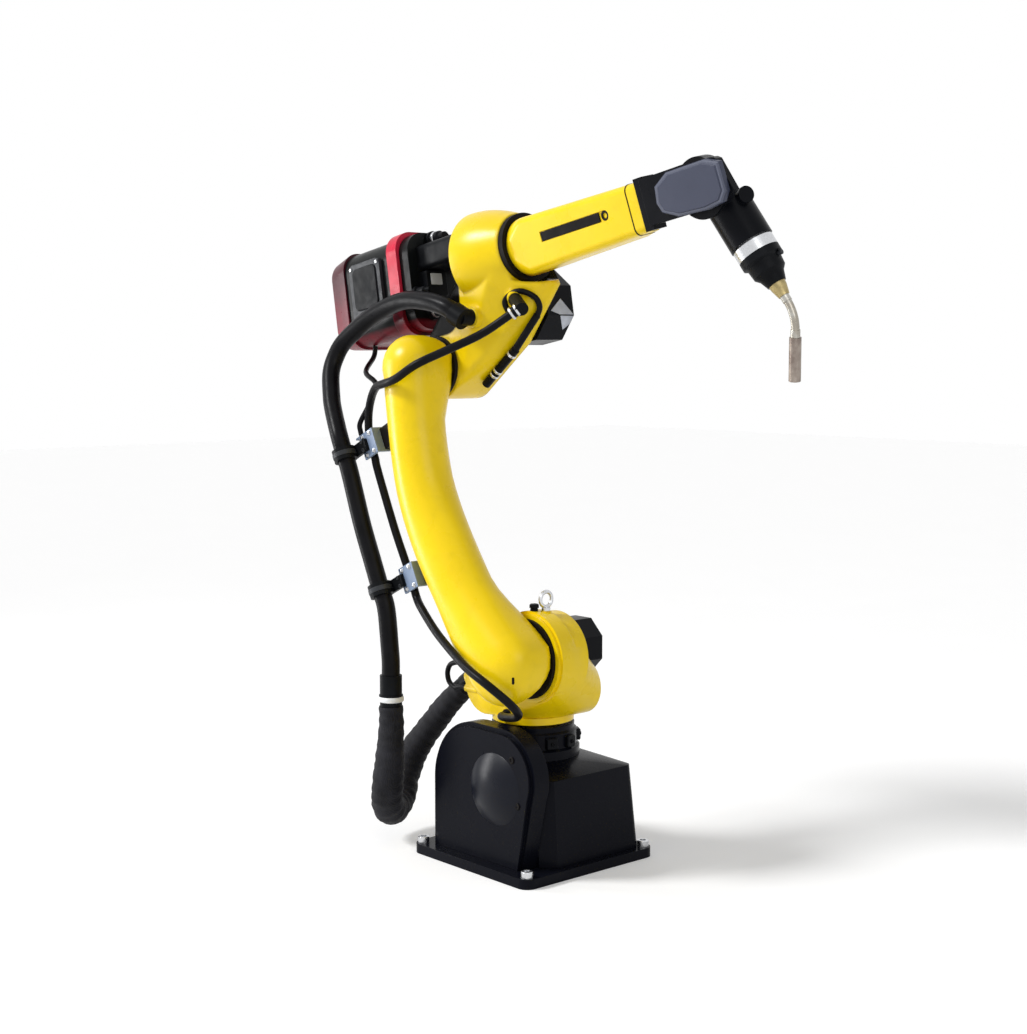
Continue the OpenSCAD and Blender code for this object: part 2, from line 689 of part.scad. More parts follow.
// The room that the forearm's corners need as it rolls, from the elbow's front on
module forearm_sweep(room) {
    reach = norm([forearm_y - forearm_corner, forearm_root - forearm_corner]) + forearm_corner;
    translate([0, 0, elbow_rise]) rod_x(reach + room, roll_front + run_gap / 2, forearm_reach);
}

module elbow_motor() {
    color(black) at_elbow() difference() {
        translate(elbow_motor_at) rotate([0, 22.5, 0])
            rod_y(elbow_motor_r, elbow_motor_y, elbow_motor_y + elbow_motor_len, $fn = 8);
        translate([0, 0, elbow_rise]) rod_x(roll_r + 2, 0, roll_front + 1);
        forearm_sweep(6);
    }
}

// Right-angled socket that the thick hose comes out of
module hose_socket() {
    color(black) at_elbow() {
        rod(socket_at, socket_at + 30 * socket_way, hose_r + 4);
        translate([socket_stub.x, 0, socket_stub.z]) rod_y(hose_r - 2, socket_stub.y, -turret_y - 2);
    }
}

// Right-angled plug of the thin cable
module cable_connector() {
    color(black) at_elbow() {
        rod(connector_seat, connector_bend + 10 * connector_way, cable_r + 5);
        rod(connector_bend, connector_at, cable_r + 3);
    }
}

// Conduit along the front of the elbow's web
module elbow_conduit() {
    color(black) at_elbow() {
        rod(conduit_low, conduit_knee + 4 * unit(conduit_knee - conduit_low), conduit_r);
        rod(conduit_knee, conduit_high, conduit_r - 1.5);
    }
}

// Wire feeder
module feeder_section(grow) { round_rect(2 * (feeder_y + grow), 2 * (feeder_h + grow), 44); }
module feeder_body() {
    color(black) at_elbow() translate([0, 0, feeder_z]) slab_x(-feeder_back, -feeder_front) feeder_section(-4);
}
module feeder_end_shell() {
    color(red) at_elbow() translate([-feeder_back, 0, feeder_z]) hull() {
        slab_x(-slim, 0) feeder_section(0);
        slab_x(-feeder_shell_d * 0.75, -feeder_shell_d * 0.75 + slim) feeder_section(-8);
        slab_x(-feeder_shell_d, -feeder_shell_d + slim) feeder_section(-24);
    }
}
module feeder_band() {
    color(red) at_elbow() translate([0, 0, feeder_z]) slab_x(-feeder_band_x, feeder_band_w - feeder_band_x)
        difference() {
            feeder_section(4);
            feeder_section(-4);
        }
}
module feeder_side_cover() {
    gap = 25;
    color(black) at_elbow()
        translate([gap + feeder_cover_len / 2 - feeder_back, 4 - feeder_y, feeder_z + 6])
            slab_y(-8, 0) round_rect(feeder_cover_len, feeder_cover_h, 14);
}
module feeder_bracket() {
    color(black) at_elbow() translate([0, 0, feeder_z]) slab_x(-feeder_front, roll_back)
        translate([0, 21 + feeder_bracket_h / 2]) round_rect(feeder_bracket_w, feeder_bracket_h, 12);
}

// Forearm
module forearm_ring() {
    color(black) at_roll() {
        rod_x(roll_front_r - 2, roll_front + run_gap, roll_front + band_w);
        rod_x(roll_spigot_r, roll_front - spigot_len, roll_front + band_w);
    }
}

module forearm_section(half_h) { round_rect(2 * forearm_y, 2 * half_h, forearm_corner); }
module forearm_casting() {
    root = roll_front + band_w;
    neck = root + 46;
    far_cut = 118;
    color(yellow) at_roll() difference() {
        union() {
            hull() {
                rod_x(flange_r, root, root + 10, $fn = 64);
                slab_x(neck, neck + slim) forearm_section(forearm_root);
            }
            hull() {
                slab_x(neck, neck + slim) forearm_section(forearm_root);
                slab_x(forearm_x - slim, forearm_x) forearm_section(forearm_end);
            }
        }
        slab_y(-forearm_y - 1, strip_depth - forearm_y) {
            translate([strip_x, strip_z - strip_h / 2]) square([strip_len, strip_h]);
            translate([strip_x + strip_len, strip_z]) circle(strip_h / 2);
        }
        translate([0, 0, -2 * forearm_root]) linear_extrude(4 * forearm_root)
            polygon([[forearm_x - far_cut, forearm_y + 1], [forearm_x + 1, forearm_y + 1],
                     [forearm_x + 1, 2 - root_depth]]);
    }
}

// Wrist: one arm on the right side carries the bend shaft
module wrist_arm() {
    tail = root_x - 8;
    nose = forearm_reach + 84;
    color(black) at_roll() difference() {
        union() {
            slab_y(2 - wrist_out, -root_depth)
                polygon([[forearm_x, -wrist_h], [root_x, -wrist_h], [root_x, wrist_h + 6],
                         [forearm_x, wrist_h + 6]]);
            slab_y(-wrist_out, -wrist_in)
                polygon([[tail, 8 - wrist_h], [nose - 22, 6 - wrist_h], [nose + 6, 24 - wrist_h],
                         [nose - 14, wrist_h - 8], [nose - 22, wrist_h - 3], [nose - 50, wrist_h + 2],
                         [tail, wrist_h + 2]]);
        }
        translate([forearm_reach, 0, 0]) rod_y(bend_shaft_r + run_gap, -wrist_out - 1, 1 - wrist_in);
    }
}

module wrist_cover() {
    half = 82;
    top = wrist_h - 2;
    low = wrist_h - 4;
    color(slate) at_roll() translate([forearm_reach, 0, 0]) slab_y(-wrist_out - cover_t, -wrist_out)
        polygon([[-half, -4], [5 - half, 26], [39 - half, top], [half - 32, top], [half - 1, top - 12],
                 [half, -20], [half - 14, 5 - low], [half - 52, -low], [44 - half, 4 - low],
                 [8 - half, 20 - low]]);
}

module wrist_body() {
    shaft_in = wrist_out - 1;
    color(black) at_wrist() difference() {
        union() {
            rod_y(bend_hub_r, -hub_near, -hub_far);
            turned_x([[barrel_back, 0], [barrel_back, barrel_r - 12], [barrel_back + 12, barrel_r],
                      [barrel_x, barrel_r], [barrel_x, 0]]);
            rod_y(bend_shaft_r, -shaft_in, -hub_far);
            rod([48, 0, 26], [56, -12, 54], 15);
        }
        rod_x(tool_spigot_r + run_gap, barrel_x - spigot_len - 1, barrel_x + 1);
    }
}

// Torch
module tool_ring() {
    color(steel) at_wrist() {
        rod_x(tool_ring_r, tool_x, socket_x);
        rod_x(tool_spigot_r, barrel_x - spigot_len, tool_x + 1);
    }
}

module torch_socket() {
    nut_r = tool_ring_r;
    color(black) at_wrist()
        turned_x([[socket_x, 0], [socket_x, nut_r], [socket_x + 14, nut_r], [socket_x + 18, nut_r - 6],
                  [socket_x + 38, nut_r - 8], [socket_x + 46, nut_r - 15], [cone_x, nut_r - 21], [cone_x, 0]]);
}

module torch_cone() {
    color(brass) at_wrist()
        turned_x([[cone_x, 0], [cone_x, 16], [cone_x + 8, 15], [neck_x, neck_r + 3], [neck_x, 0]]);
}

module at_neck_end() {
    translate([neck_x + neck_straight + neck_bend * sin(neck_angle), 0, -neck_bend * (1 - cos(neck_angle))])
        rotate([0, neck_angle, 0]) children();
}

module torch_neck() {
    color(steel) at_wrist() {
        rod_x(neck_r + ferrule_t, neck_x, neck_x + neck_straight + 2);
        translate([neck_x + neck_straight, 0, -neck_bend]) rotate([90, 0, 0]) rotate([0, 0, 90 - neck_angle])
            rotate_extrude(angle = neck_angle) translate([neck_bend, 0]) circle(neck_r);
        at_neck_end() rod_x(neck_r + ferrule_t, -2, ferrule_len);
    }
}

module torch_nozzle() {
    color(stained) at_wrist() at_neck_end() difference() {
        rod_x(nozzle_r, ferrule_len, ferrule_len + nozzle_len);
        rod_x(nozzle_r - 3, ferrule_len + nozzle_len - 20, ferrule_len + nozzle_len + 1);
    }
}

base_plate();
base_casting();
base_side_housing();
waist_collar();
turret_casting();
shoulder_motor();
lifting_eye();
hose_saddle();
cable_gland();
shoulder_ring();
lower_arm_casting();
elbow_ring();
hose_brackets();
hose_clamps();
bracket_pads();
hose_arm_run();
hose_coupler();
cable_arm_run();
hose_loop();
cable_turret_run();
loop_lead();
hose_elbow_run();
cable_elbow_run();
feeder_lead();
elbow_casting();
elbow_motor();
hose_socket();
cable_connector();
elbow_conduit();
feeder_body();
feeder_end_shell();
feeder_band();
feeder_side_cover();
feeder_bracket();
forearm_ring();
forearm_casting();
wrist_arm();
wrist_cover();
wrist_body();
tool_ring();
torch_socket();
torch_cone();
torch_neck();
torch_nozzle();
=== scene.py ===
import math
import bmesh
import bpy
from mathutils import Matrix, Vector, noise


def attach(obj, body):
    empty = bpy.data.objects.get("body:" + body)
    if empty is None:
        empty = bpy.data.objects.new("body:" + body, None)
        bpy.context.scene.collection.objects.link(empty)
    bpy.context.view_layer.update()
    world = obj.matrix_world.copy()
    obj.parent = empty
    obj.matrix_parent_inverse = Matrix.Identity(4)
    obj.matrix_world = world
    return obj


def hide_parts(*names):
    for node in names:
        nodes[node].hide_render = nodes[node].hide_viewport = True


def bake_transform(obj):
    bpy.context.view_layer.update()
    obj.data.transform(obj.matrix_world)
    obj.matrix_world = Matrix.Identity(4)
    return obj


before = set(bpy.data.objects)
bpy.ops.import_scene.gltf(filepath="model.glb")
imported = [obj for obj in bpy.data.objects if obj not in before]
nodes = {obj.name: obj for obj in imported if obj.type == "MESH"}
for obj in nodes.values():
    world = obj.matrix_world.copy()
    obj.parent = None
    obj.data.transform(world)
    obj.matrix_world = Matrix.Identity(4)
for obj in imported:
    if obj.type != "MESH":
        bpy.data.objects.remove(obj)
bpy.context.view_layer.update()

# Looks of the welding robot: camera and light, cords, materials, then the small pieces on each link.
MM = 0.001

# Joint places and link frames, as in the solids' source. Sizes on the links are in millimetres.
SHOULDER = (75, 0, 430)
LOWER_ARM_LEN, ELBOW_RISE, FOREARM_REACH = 640, 206, 740
ARM_LEAN, FOREARM_PITCH, FOREARM_ROLL, WRIST_BEND = 26, 10, 12, 69


def move(x, y, z):
    return Matrix.Translation((x * MM, y * MM, z * MM))


def turn(angle, axis):
    return Matrix.Rotation(math.radians(angle), 4, axis)


WORLD = Matrix.Identity(4)
ARM = move(*SHOULDER) @ turn(-ARM_LEAN, "Y")
ELBOW = move(*((ARM @ Vector((0, 0, LOWER_ARM_LEN * MM))) / MM)) @ turn(-FOREARM_PITCH, "Y")
ROLL = ELBOW @ move(0, 0, ELBOW_RISE) @ turn(FOREARM_ROLL, "X")
WRIST = ROLL @ move(FOREARM_REACH, 0, 0) @ turn(WRIST_BEND, "Y")


def at(link, p):
    """A point of a link's frame in millimetres, as a point of the row frame in metres."""
    return link @ (Vector(p) * MM)


def facing(link, p, way):
    """A frame at a link's point, with its X axis along way."""
    x = (link.to_3x3() @ Vector(way)).normalized()
    y = x.orthogonal().normalized() if abs(x.z) > 0.9 else Vector((0, 0, 1)).cross(x).normalized()
    return Matrix.Translation(at(link, p)) @ Matrix((x, y, x.cross(y))).transposed().to_4x4()


def aim(obj, place, target):
    """Puts a camera or a lamp at a place and turns it to a target, both in metres."""
    obj.location = place
    obj.rotation_euler = (Vector(target) - obj.location).to_track_quat("-Z", "Y").to_euler()


# Camera: the photograph's view, for an image of 1027 by 1034
IMAGE_SIZE = (1027, 1034)
FOCAL_PIXELS = 1709.7
camera = bpy.data.objects.new("camera", bpy.data.cameras.new("camera"))
bpy.context.scene.collection.objects.link(camera)
aim(camera, (2.5739, -2.3257, 1.0460), (-0.0374, -0.0208, 0.7011))
camera.data.sensor_width = 36
camera.data.lens = FOCAL_PIXELS * camera.data.sensor_width / max(IMAGE_SIZE)
camera.data.clip_end = 60
bpy.context.scene.camera = camera
bpy.context.scene.view_settings.view_transform = "Standard"


# Shader building
class Paint:
    """A material under construction, with the usual nodes at hand."""

    def __init__(self, name):
        self.material = bpy.data.materials.new(name)
        self.material.use_nodes = True
        self.tree = self.material.node_tree
        self.shader = self.tree.nodes["Principled BSDF"]
        self.place = self.add("ShaderNodeTexCoord").outputs["Object"]

    def add(self, kind, **inputs):
        node = self.tree.nodes.new(kind)
        for name, value in inputs.items():
            self.set(node, name.replace("_", " "), value)
        return node

    def set(self, node, name, value):
        if isinstance(value, bpy.types.NodeSocket):
            self.tree.links.new(value, node.inputs[name])
        else:
            node.inputs[name].default_value = value

    def noise(self, scale, detail=4.0, stretch=None):
        place = self.place
        if stretch:
            place = self.add("ShaderNodeMapping", Vector=place, Scale=stretch).outputs["Vector"]
        return self.add("ShaderNodeTexNoise", Vector=place, Scale=scale, Detail=detail).outputs["Fac"]

    def ramp(self, value, low, high, bottom, top):
        node = self.add("ShaderNodeMapRange", Value=value)
        for name, v in (("From Min", low), ("From Max", high), ("To Min", bottom), ("To Max", top)):
            node.inputs[name].default_value = v
        return node.outputs["Result"]

    def mix(self, share, first, second):
        node = self.tree.nodes.new("ShaderNodeMix")
        node.data_type = "RGBA"
        for socket, value in ((0, share), (6, first), (7, second)):
            if isinstance(value, bpy.types.NodeSocket):
                self.tree.links.new(value, node.inputs[socket])
            else:
                node.inputs[socket].default_value = value if socket == 0 else (*value, 1)
        return node.outputs[2]

    def outside_corner(self, link, radius):
        """0 behind and above a frame's origin and within a radius of it, 1 elsewhere."""
        place = self.add("ShaderNodeMapping", Vector=self.place, Location=link.translation,
                         Rotation=link.to_euler())
        place.vector_type = "TEXTURE"
        flip = self.add("ShaderNodeVectorMath")
        flip.operation = "MULTIPLY"
        self.tree.links.new(place.outputs["Vector"], flip.inputs[0])
        flip.inputs[1].default_value = (1, 0, -1)
        ahead = self.add("ShaderNodeVectorMath")
        ahead.operation = "MAXIMUM"
        self.tree.links.new(flip.outputs["Vector"], ahead.inputs[0])
        far = self.add("ShaderNodeVectorMath")
        far.operation = "LENGTH"
        self.tree.links.new(ahead.outputs["Vector"], far.inputs[0])
        return self.ramp(far.outputs["Value"], (radius - 2) * MM, (radius + 2) * MM, 0.0, 1.0)

    def bump(self, height, strength, distance, edge=0.0):
        """Surface relief, with edges rounded by edge metres."""
        node = self.add("ShaderNodeBump", Height=height, Strength=strength, Distance=distance)
        if edge:
            bevel = self.add("ShaderNodeBevel", Radius=edge)
            bevel.samples = 4
            self.tree.links.new(bevel.outputs["Normal"], node.inputs["Normal"])
        return node.outputs["Normal"]

    def finish(self, **inputs):
        for name, value in inputs.items():
            name = name.replace("_", " ")
            if isinstance(value, tuple) and len(value) == 3:
                value = (*value, 1)
            self.set(self.shader, name, value)
        return self.material


def shade(colour, k):
    return tuple(c * k for c in colour)


def enamel(name, colour, rough, specular, peel=0.05, edge=0.0015, painted_shade_corner=None):
    """Sprayed paint: soft clouding, a trace of dust, orange peel and rounded edges.

    The last argument is a frame and a radius: what lies behind and above its round corner is painted
    near-black with little specular, painted shade where a hollow lies in shadow.
    """
    p = Paint(name)
    cloud = p.ramp(p.noise(5.0), 0.35, 0.7, 0.0, 1.0)
    dust = p.ramp(p.noise(38.0, 8.0), 0.52, 0.75, 0.0, 0.35)
    tone = p.mix(cloud, colour, shade(colour, 0.9))
    tone = p.mix(dust, tone, shade(colour, 0.8))
    if painted_shade_corner:
        # Painted shade: near-black colour and low specular within the corner's radius.
        lit = p.outside_corner(*painted_shade_corner)
        tone = p.mix(lit, (0.003, 0.003, 0.003), tone)
        specular = p.ramp(lit, 0.0, 1.0, 0.02, specular)
    return p.finish(Base_Color=tone,
                    Roughness=p.ramp(p.noise(16.0, 6.0), 0.3, 0.7, rough - 0.05, rough + 0.07),
                    Specular_IOR_Level=specular,
                    Normal=p.bump(p.noise(420.0, 2.0), peel, 0.0006, edge))


def moulded(name, colour, rough, specular=0.3, grain=0.12):
    """Moulded plastic or rubber with a fine grain."""
    p = Paint(name)
    tone = p.mix(p.ramp(p.noise(22.0, 6.0), 0.35, 0.7, 0.0, 1.0), colour, shade(colour, 1.7))
    return p.finish(Base_Color=tone,
                    Roughness=p.ramp(p.noise(60.0, 5.0), 0.3, 0.7, rough - 0.07, rough + 0.09),
                    Specular_IOR_Level=specular,
                    Normal=p.bump(p.noise(900.0, 3.0), grain, 0.0004, 0.001))


def metal(name, colour, rough, stretch=(1, 1, 1), stain=None):
    """Machined metal with fine tool marks, and stains where it has been hot."""
    p = Paint(name)
    marks = p.noise(240.0, 4.0, stretch)
    tone = p.mix(p.ramp(marks, 0.3, 0.7, 0.0, 0.6), colour, shade(colour, 0.7))
    if stain:
        tone = p.mix(p.ramp(p.noise(45.0, 7.0), 0.42, 0.62, 0.0, 0.9), tone, stain)
    return p.finish(Base_Color=tone, Metallic=1.0,
                    Roughness=p.ramp(marks, 0.3, 0.7, rough - 0.06, rough + 0.1),
                    Normal=p.bump(marks, 0.08, 0.0005, 0.0008))


def sleeve(name, colour):
    """Woven sleeve over the hose loop, dusty in its folds."""
    p = Paint(name)
    wave = p.add("ShaderNodeTexWave", Vector=p.place, Scale=120.0, Distortion=6.0, Detail=3.0).outputs["Fac"]
    tone = p.mix(p.ramp(p.noise(26.0, 7.0), 0.36, 0.68, 0.0, 1.0), colour, shade(colour, 2.6))
    return p.finish(Base_Color=tone, Roughness=p.ramp(wave, 0.0, 1.0, 0.62, 0.85), Specular_IOR_Level=0.2,
                    Normal=p.bump(wave, 0.35, 0.0015))


def two_tone(name, upper, lower, level, soft, specular):
    """Feeder colours: one colour above a level of the elbow's frame, another below it. On the feeder body
    these are its black and red plastics; on the red band the bright top is a painted highlight and the dark
    lower part painted shade; the end shell is only darker towards the top.
    """
    p = Paint(name)
    up = ELBOW.to_3x3().col[2]
    height = p.add("ShaderNodeVectorMath", Vector=p.place)
    height.operation = "DOT_PRODUCT"
    height.inputs[1].default_value = up
    edge = up.dot(at(ELBOW, (0, 0, level)))
    share = p.ramp(height.outputs["Value"], edge - soft * MM, edge + soft * MM, 0.0, 1.0)
    grain = p.ramp(p.noise(30.0, 6.0), 0.35, 0.7, 0.0, 0.5)
    tone = p.mix(share, lower, upper)
    return p.finish(Base_Color=p.mix(grain, tone, shade(upper, 0.6)), Specular_IOR_Level=specular,
                    Roughness=p.ramp(p.noise(50.0, 5.0), 0.3, 0.7, 0.26, 0.4),
                    Normal=p.bump(p.noise(700.0, 3.0), 0.1, 0.0004, 0.002))


YELLOW = enamel("yellow_enamel", (0.93, 0.66, 0.002), 0.28, 0.3)
# The elbow's enamel carries painted shade: near-black over the web's upper rear, where a hollow lies in
# shadow.
ELBOW_YELLOW_PAINTED_SHADE = enamel("elbow_enamel_painted_shade", (0.93, 0.66, 0.002), 0.28, 0.3, edge=0.012,
                      painted_shade_corner=(ELBOW @ move(34, 0, 112), 50))
BLACK = enamel("black_enamel", (0.004, 0.0045, 0.0065), 0.3, 0.07)
BASE_BLACK = enamel("base_enamel", (0.004, 0.0045, 0.008), 0.27, 0.06)
BASE_GLOSS = enamel("base_gloss", (0.004, 0.005, 0.010), 0.3, 0.16)
SLATE = enamel("slate_enamel", (0.043, 0.05, 0.085), 0.4, 0.3)
# A lighter slate that paints a highlight on the wrist cover's rim.
SLATE_HIGHLIGHT = enamel("slate_painted_highlight", (0.095, 0.105, 0.15), 0.42, 0.3)
BRACKET = enamel("bracket_enamel", (0.22, 0.29, 0.42), 0.42, 0.35)
SEAM = moulded("joint_black", (0.004, 0.003, 0.003), 0.55, 0.1)
PLASTIC = moulded("black_plastic", (0.004, 0.0045, 0.0055), 0.4, 0.07)
GREY_PLASTIC = moulded("grey_plastic", (0.022, 0.024, 0.028), 0.4, 0.2)
PALE_PLATE = moulded("pale_plate", (0.33, 0.35, 0.4), 0.4, 0.3)
WHITE_PLATE = moulded("white_plate", (0.62, 0.63, 0.64), 0.45, 0.4)
HOSE = moulded("hose_rubber", (0.004, 0.004, 0.005), 0.34, 0.08, 0.1)
SLEEVE = sleeve("loop_sleeve", (0.007, 0.007, 0.009))
STEEL = metal("bright_steel", (0.66, 0.67, 0.69), 0.26)
NECK_STEEL = metal("neck_steel", (0.5, 0.49, 0.45), 0.3, (1, 1, 0.2), (0.33, 0.3, 0.25))
NOZZLE = metal("nozzle_steel", (0.36, 0.31, 0.27), 0.42, (1, 1, 0.06), (0.2, 0.16, 0.14))
BRASS = metal("cone_brass", (0.45, 0.36, 0.17), 0.34, (1, 1, 0.2), (0.25, 0.2, 0.1))
FEEDER = two_tone("feeder_plastic", (0.005, 0.006, 0.0065), (0.16, 0.006, 0.016), 112, 5, 0.1)
# The band's bright red top is a painted highlight and its near-black lower part painted shade.
BAND_LIT_AND_SHADED = two_tone("band_red_painted_highlight_and_shade", (0.62, 0.02, 0.055), (0.05, 0.003, 0.008), 146, 8, 0.2)
# The end shell is brighter red below and darker towards the top.
FEEDER_END = two_tone("feeder_end_plastic", (0.06, 0.004, 0.011), (0.22, 0.006, 0.024), 185, 55, 0.3)

node_materials = {
    YELLOW: ("turret_casting", "lower_arm_casting", "forearm_casting"),
    ELBOW_YELLOW_PAINTED_SHADE: ("elbow_casting",),
    BASE_BLACK: ("base_plate", "base_casting", "base_side_housing", "waist_collar"),
    BLACK: ("shoulder_motor", "elbow_motor", "wrist_arm", "wrist_body"),
    SEAM: ("shoulder_ring", "elbow_ring", "forearm_ring", "bracket_pads"),
    STEEL: ("lifting_eye", "tool_ring"),
    SLATE: ("wrist_cover",),
    BRACKET: ("hose_brackets",),
    PLASTIC: ("hose_saddle", "cable_gland", "hose_clamps", "hose_coupler", "hose_socket", "cable_connector",
              "elbow_conduit", "feeder_bracket", "torch_socket"),
    GREY_PLASTIC: ("feeder_side_cover",),
    FEEDER: ("feeder_body",),
    FEEDER_END: ("feeder_end_shell",),
    BAND_LIT_AND_SHADED: ("feeder_band",),
    NECK_STEEL: ("torch_neck",),
    BRASS: ("torch_cone",),
    NOZZLE: ("torch_nozzle",),
}
SMOOTH_ANGLE = math.radians(32)
for material, names in node_materials.items():
    for name in names:
        solid = nodes[name]
        solid.data.materials.clear()
        solid.data.materials.append(material)
        for face in solid.data.polygons:
            face.use_smooth = True
        weld = solid.modifiers.new("weld", "WELD")
        weld.merge_threshold = 0.00002
        split = solid.modifiers.new("split", "EDGE_SPLIT")
        split.split_angle = SMOOTH_ANGLE


# Mesh building
def piece(name, bm, material, body=None):
    """Turns a bmesh into a smooth-shaded piece that rides on a body."""
    bmesh.ops.recalc_face_normals(bm, faces=bm.faces)
    mesh = bpy.data.meshes.new(name)
    bm.to_mesh(mesh)
    bm.free()
    for face in mesh.polygons:
        face.use_smooth = True
    mesh.set_sharp_from_angle(angle=SMOOTH_ANGLE)
    mesh.materials.append(material)
    obj = bpy.data.objects.new(name, mesh)
    bpy.context.scene.collection.objects.link(obj)
    if body:
        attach(obj, body)
    return obj


def loft(bm, rings, closed=False):
    """Joins rings of points with quads, and caps the ends unless the rings close on themselves."""
    rows = [[bm.verts.new(p) for p in ring] for ring in rings]
    pairs = list(zip(rows, rows[1:] + rows[:1] if closed else rows[1:]))
    for low, high in pairs:
        for k in range(len(low)):
            q = (k + 1) % len(low)
            bm.faces.new((low[k], low[q], high[q], high[k]))
    if not closed:
        bm.faces.new(rows[0])
        bm.faces.new(rows[-1][::-1])


def circles(link, profile, sides):
    """Rings about a frame's X axis, from pairs of distance and radius in millimetres."""
    angles = [2 * math.pi * k / sides for k in range(sides)]
    return [[at(link, (x, r * math.cos(a), r * math.sin(a))) for a in angles] for x, r in profile]


def turned(bm, link, profile, sides):
    """A solid of revolution about a frame's X axis."""
    loft(bm, circles(link, profile, sides))


def band(bm, link, x0, x1, inner, outer, chamfer=0.8, sides=40):
    """A flat ring about a frame's X axis, from x0 to x1, with its outer edges chamfered."""
    profile = [(x0, inner), (x0, outer - chamfer), (x0 + chamfer, outer), (x1 - chamfer, outer),
               (x1, outer - chamfer), (x1, inner)]
    loft(bm, circles(link, profile, sides), closed=True)


def plate(bm, link, outline, y0, y1, chamfer=0.8):
    """A plate whose outline is in a frame's X and Z, from y0 out to y1, with its outer edge chamfered."""
    mid = Vector((sum(p[0] for p in outline) / len(outline), sum(p[1] for p in outline) / len(outline)))

    def ring(y, inset):
        points = []
        for x, z in outline:
            v = Vector((x, z)) - mid
            v *= 1 - inset / v.length
            points.append(at(link, (mid.x + v.x, y, mid.y + v.y)))
        return points
    step = chamfer if y1 > y0 else -chamfer
    loft(bm, [ring(y0, 0), ring(y1 - step, 0), ring(y1, chamfer * 1.3)])


def rounded(w, h, r, mid=(0, 0), steps=5):
    """Outline of a rectangle with round corners."""
    points = []
    for side_x, side_z, first in ((1, 1, 0), (-1, 1, 90), (-1, -1, 180), (1, -1, 270)):
        x, z = mid[0] + side_x * (w / 2 - r), mid[1] + side_z * (h / 2 - r)
        for k in range(steps + 1):
            a = math.radians(first + 90 * k / steps)
            points.append((x + r * math.cos(a), z + r * math.sin(a)))
    return points


def cap_screw(bm, link, r, h):
    """Socket head cap screw, standing along the frame's X axis."""
    turned(bm, link, [(-1, r), (h - 0.12 * r, r), (h, 0.88 * r), (h, 0.56 * r), (0.4 * h, 0.5 * r)], 24)


def hex_bolt(bm, link, r, h):
    """Washer and hexagon head, standing along the frame's X axis."""
    turned(bm, link, [(-1, 1.3 * r), (0.16 * h, 1.3 * r), (0.2 * h, 1.2 * r)], 24)
    turned(bm, link, [(0.1 * h, r), (0.92 * h, r), (h, 0.86 * r)], 6)


def fasteners(name, body, material, places, r, h, kind=cap_screw):
    """A set of screws, each at a link's point and facing a way."""
    bm = bmesh.new()
    for link, p, way in places:
        kind(bm, facing(link, p, way), r, h)
    return piece(name, bm, material, body)


# Cords
def smooth_route(points, radii, steps=6):
    """A smooth curve through the route's points, with the radius at each."""
    ends = [points[0] * 2 - points[1], *points, points[-1] * 2 - points[-2]]
    route, sizes = [], []
    for i in range(len(points) - 1):
        a, b, c, d = ends[i:i + 4]
        for k in range(steps):
            t = k / steps
            route.append(0.5 * (2 * b + (c - a) * t + (2 * a - 5 * b + 4 * c - d) * t * t
                                + (3 * b - a - 3 * c + d) * t ** 3))
            sizes.append(radii[i] + (radii[i + 1] - radii[i]) * t)
    return route + [points[-1]], sizes + [radii[-1]]


def tube(bm, route, sizes, sides=20, lumps=0.0):
    """A tube along a route. Lumps swell and wrinkle it by that share of its radius."""
    rings, along = [], 0.0
    side = None
    for i, p in enumerate(route):
        way = (route[min(i + 1, len(route) - 1)] - route[max(i - 1, 0)]).normalized()
        side = (side - way * side.dot(way)).normalized() if side else way.orthogonal().normalized()
        up = way.cross(side)
        along += (p - route[max(i - 1, 0)]).length
        ring = []
        for k in range(sides):
            a = 2 * math.pi * k / sides
            out = side * math.cos(a) + up * math.sin(a)
            r = sizes[i] * MM
            if lumps and 0 < i < len(route) - 1:
                spot = p + out * r
                r *= 1 + lumps * (noise.noise(spot * 34) + 0.5 * noise.noise(spot * 90)
                                  + 0.45 * math.sin(along * 260 + 2 * noise.noise(spot * 20)))
            ring.append(p + out * r)
        rings.append(ring)
    loft(bm, rings)


def in_frame(link, points):
    return [at(link, p) for p in points]


def cord(name, points, radii, material, body, joined=None,
         lumps=0.0, steps=6):
    """A hose or cable in place of its node.

    joined names the two bodies that it runs between and the points where its bend starts and ends; these are
    not used, and a joined cord is only fixed where it lies instead of riding on a body.
    """
    if not isinstance(radii, list):
        radii = [radii] * len(points)
    route, sizes = smooth_route(points, radii, steps)
    bm = bmesh.new()
    tube(bm, route, sizes, 24, lumps)
    obj = piece(name + "_skin", bm, material)
    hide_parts(name)
    if joined:
        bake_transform(obj)
    else:
        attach(obj, body)


HOSE_R, CABLE_R, LEAD_R, ARCH_R = 19, 8.5, 5.5, 6
HOSE_Y, CABLE_Y = 210, 171
CLAMP_TOP, CLAMP_LOW = 542, 242
RUN_GAP = 0.3


def bow(z):
    """How far the lower arm stands back at a distance along it."""
    return -76 * math.sin(math.pi * z / LOWER_ARM_LEN)


